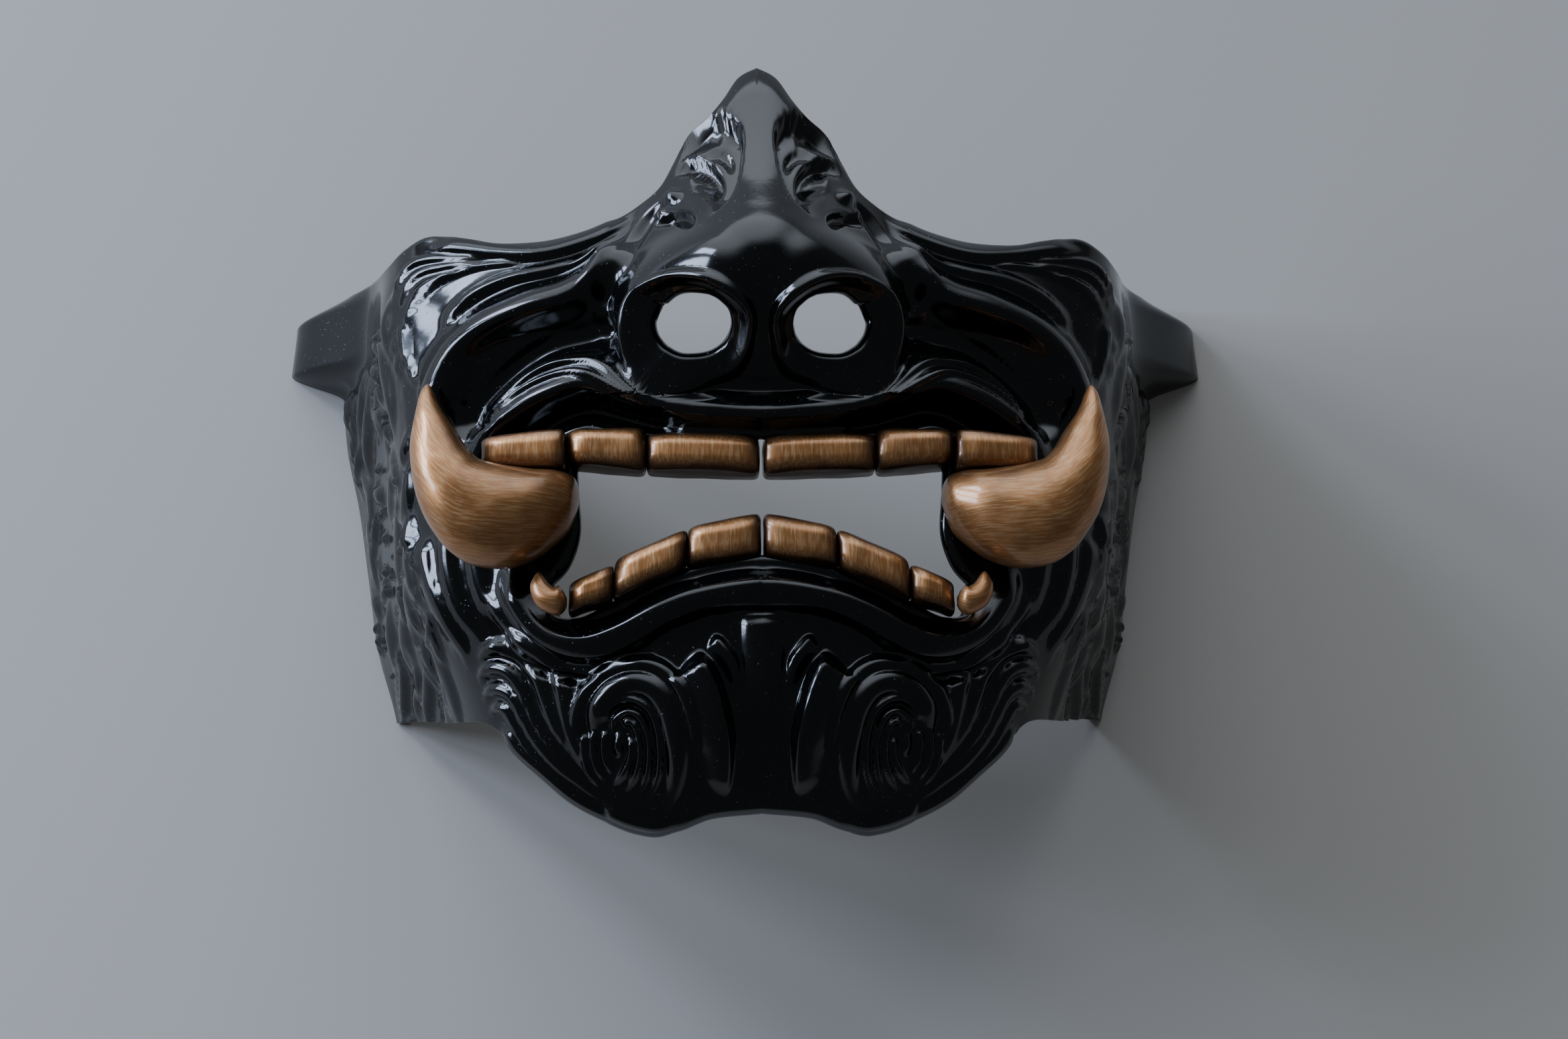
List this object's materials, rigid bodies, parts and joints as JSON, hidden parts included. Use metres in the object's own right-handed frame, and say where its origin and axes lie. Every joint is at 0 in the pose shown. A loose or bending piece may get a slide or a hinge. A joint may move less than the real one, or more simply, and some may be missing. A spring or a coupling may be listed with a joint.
{
  "type": "samurai face guard",
  "caption": "Hollow half mask of a snarling demon face for samurai armour, with curved tusks, bared teeth, open nostrils, a whirled beard and side plates.",
  "frame": {"origin": "middle of the footprint, on the plane of the back rim that the guard rests on", "axes": "+Z is the way the face looks, +Y is up the face towards the brow, +X is to the right as seen from the front"},
  "size_m": [0.2002, 0.1549, 0.1029],
  "materials": {
    "black_lacquer": "gloss",
    "antique_gold": "burnished metallic paint"
  },
  "bodies": {
    "root": {"face_shell": "black_lacquer", "upper_tooth_central_r": "antique_gold", "upper_tooth_central_l": "antique_gold", "upper_tooth_lateral_r": "antique_gold", "upper_tooth_lateral_l": "antique_gold", "upper_canine_r": "antique_gold", "upper_canine_l": "antique_gold", "tusk_r": "antique_gold", "tusk_l": "antique_gold", "lower_tooth_central_r": "antique_gold", "lower_tooth_central_l": "antique_gold", "lower_tooth_second_r": "antique_gold", "lower_tooth_second_l": "antique_gold", "lower_tooth_third_r": "antique_gold", "lower_tooth_third_l": "antique_gold", "lower_tooth_hook_r": "antique_gold", "lower_tooth_hook_l": "antique_gold"}
  },
  "joints": []
}
